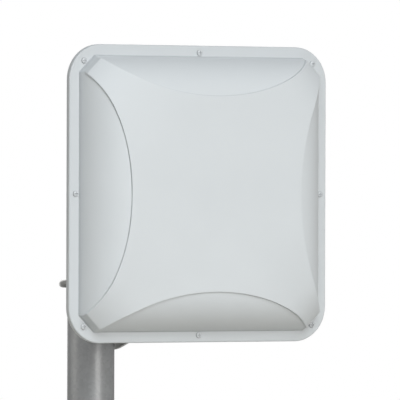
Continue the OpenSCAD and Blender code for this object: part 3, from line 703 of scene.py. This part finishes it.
# The per-vertex mask read here is painted shade. It pushes the tone down towards the shaded colour.
painted_shade = node(tree, "Attribute", attribute_name="painted_shade")
tone = node(tree, "Math", operation="MULTIPLY_ADD")
tone.inputs[1].default_value = -tone_low
tree.links.new(painted_shade.outputs["Fac"], tone.inputs[0])
tree.links.new(spread(tree, grain.outputs["Tone"], 0.48, 0.52), tone.inputs[2])
colour = ramp(tree, tone.outputs["Value"], [(0.0, radome_shaded), (tone_low, radome_dark), (tone_high, radome_light)])
tree.links.new(colour, shader.inputs["Base Color"])
tree.links.new(spread(tree, grain.outputs["Grain"], 0.48, 0.6), shader.inputs["Roughness"])
bump(tree, shader, grain.outputs["Grain"], 0.02 * MM, 0.4)
put(radome, "radome_cover", "antenna_head", "radome_plastic", radome_plastic, "radome", sharp=40)

# Flange screws: eight pan-head screws that hold the radome and its gasket on the back plate.
# Steel, painted like the radome, with a cross recess. Shade is painted into the recess and round the foot of the head,
# and the top of the head is painted lighter.
screw_low, screw_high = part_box("flange_screws")
screw_paint, tree, shader = finish("screw_paint", Specular_IOR_Level=0.4)
place = node(tree, "TexCoord")
place_parts = node(tree, "SeparateXYZ")
tree.links.new(place.outputs["Object"], place_parts.inputs["Vector"])
depth = node(tree, "MapRange", From_Min=screw_low.y, From_Max=screw_high.y)
head_foot = (PANEL_AT.y - screw_low.y) / (screw_high.y - screw_low.y)
tree.links.new(place_parts.outputs["Y"], depth.inputs["Value"])
# Painted shade: from the top of the head the colour darkens with depth to a near-black band at the head's foot, which
# also darkens the cross recess. Behind the flange it rises back to steel grey.
tree.links.new(ramp(tree, depth.outputs["Result"], [
    (0.0, (0.7, 0.72, 0.74)), (0.4 * head_foot, (0.6, 0.62, 0.64)), (0.85 * head_foot, (0.12, 0.125, 0.13)),
    (head_foot, (0.12, 0.125, 0.13)), (1.0, (0.42, 0.43, 0.44))]), shader.inputs["Base Color"])
grain = use(tree, moulding)
tree.links.new(spread(tree, grain.outputs["Grain"], 0.35, 0.5), shader.inputs["Roughness"])
bump(tree, shader, grain.outputs["Grain"], 0.01 * MM, 0.4)
coat(screw_paint, "flange_screws")

# Floor: a round pale studio table under the mast's foot.
# It keeps the object's shadow, and fades out to white where the camera sees its edge.


def seen_mask(tree):
    """1 where the camera looks, straight or by way of metal and glass, and 0 for light on its way to a surface."""
    path = node(tree, "LightPath")
    mask = path.outputs["Is Camera Ray"]
    for ray in ("Is Glossy Ray", "Is Transmission Ray"):
        either = node(tree, "Math", operation="MAXIMUM")
        tree.links.new(mask, either.inputs[0])
        tree.links.new(path.outputs[ray], either.inputs[1])
        mask = either.outputs["Value"]
    return mask


floor_mesh = bpy.data.meshes.new("floor")
floor_bm = bmesh.new()
bmesh.ops.create_circle(floor_bm, segments=96, radius=1.05, cap_ends=True)
floor_bm.to_mesh(floor_mesh)
floor_bm.free()
floor = bpy.data.objects.new("floor", floor_mesh)
bpy.context.scene.collection.objects.link(floor)
floor_white = bpy.data.materials.new("floor_white")
floor_white.use_nodes = True
tree = floor_white.node_tree
shader = tree.nodes["Principled BSDF"]
shader.inputs["Base Color"].default_value = (0.74, 0.71, 0.65, 1)
shader.inputs["Roughness"].default_value = 0.9
place = node(tree, "TexCoord")
reach = node(tree, "VectorMath", operation="LENGTH")
tree.links.new(place.outputs["Object"], reach.inputs[0])
fade = node(tree, "MapRange", From_Min=-0.3, From_Max=0.8)
tree.links.new(reach.outputs["Value"], fade.inputs["Value"])
glow = node(tree, "Emission", Strength=1.0)
shown = node(tree, "Math", operation="MULTIPLY")
tree.links.new(fade.outputs["Result"], shown.inputs[0])
tree.links.new(seen_mask(tree), shown.inputs[1])
both = node(tree, "MixShader")
tree.links.new(shown.outputs["Value"], both.inputs["Fac"])
tree.links.new(shader.outputs["BSDF"], both.inputs[1])
tree.links.new(glow.outputs["Emission"], both.inputs[2])
tree.links.new(both.outputs["Shader"], tree.nodes["Material Output"].inputs["Surface"])
floor_mesh.materials.append(floor_white)

# Studio: a white room all round, which lights the object very little.
# A large soft box stands above the camera, and weaker ones stand low in front, at the sides and behind.
world = bpy.data.worlds.new("studio")
bpy.context.scene.world = world
world.use_nodes = True
tree = world.node_tree
ambient = tree.nodes["Background"]
ambient.inputs["Color"].default_value = (0.95, 0.98, 1.0, 1)
ambient.inputs["Strength"].default_value = 0.02
white = node(tree, "Background", Color=(1, 1, 1, 1), Strength=1.0)
both = node(tree, "MixShader")
tree.links.new(seen_mask(tree), both.inputs["Fac"])
tree.links.new(ambient.outputs["Background"], both.inputs[1])
tree.links.new(white.outputs["Background"], both.inputs[2])
tree.links.new(both.outputs["Shader"], tree.nodes["World Output"].inputs["Surface"])


def lamp(name, side, height, size, watts, colour):
    """A square soft box 3 m from the panel's centre: degrees to the right of its front, and up."""
    light = bpy.data.lights.new(name, "AREA")
    light.size = size
    light.energy = watts
    light.color = colour
    holder = bpy.data.objects.new(name, light)
    across, up = math.radians(side), math.radians(height)
    towards = Vector((math.sin(across) * math.cos(up), -math.cos(across) * math.cos(up), math.sin(up)))
    holder.location = PANEL_AT + 3.0 * towards
    holder.rotation_euler = towards.to_track_quat("Z", "Y").to_euler()
    bpy.context.scene.collection.objects.link(holder)


lamp("key", -16, 33, 2.4, 75.0, (0.935, 0.98, 1.0))
lamp("low_front", 5, 2, 0.9, 23.5, (1.0, 0.97, 0.935))
lamp("right_side", 45, 10, 1.6, 2.5, (1.0, 0.93, 0.78))
lamp("left_rim", -118, 8, 1.6, 12.0, (1.0, 0.96, 0.88))
lamp("back", 160, 5, 2.0, 20.0, (1.0, 1.0, 1.0))

# Camera: a long lens, level with the middle of the panel and about 30 degrees to its left.
# Its sizes are in pixels of a 400 by 400 picture.
FRAME_PX, FOCAL_PX, SENSOR = 400, 6398.0, 36.0
view_yaw, view_pitch, view_roll = math.radians(30.097), math.radians(-0.076), math.radians(0.167)
view_distance, view_lift = 6.470, 0.002
centre_x_px, centre_y_px = 198.96, 200.5
view = bpy.data.cameras.new("camera")
view.sensor_width = SENSOR
view.lens = FOCAL_PX * SENSOR / FRAME_PX
view.clip_end = 100.0
camera = bpy.data.objects.new("camera", view)
bpy.context.scene.collection.objects.link(camera)
stand = PANEL_AT + Vector((-math.sin(view_yaw), -math.cos(view_yaw), 0)) * view_distance + Vector((0, 0, view_lift))
aim = view_yaw + (FRAME_PX / 2 - centre_x_px) / FOCAL_PX
tilt = math.pi / 2 + view_pitch + (centre_y_px - FRAME_PX / 2) / FOCAL_PX
turn = Matrix.Rotation(-aim, 4, "Z") @ Matrix.Rotation(tilt, 4, "X") @ Matrix.Rotation(view_roll, 4, "Z")
camera.matrix_world = Matrix.Translation(stand) @ turn
bpy.context.scene.camera = camera
bpy.context.scene.view_settings.view_transform = "Standard"
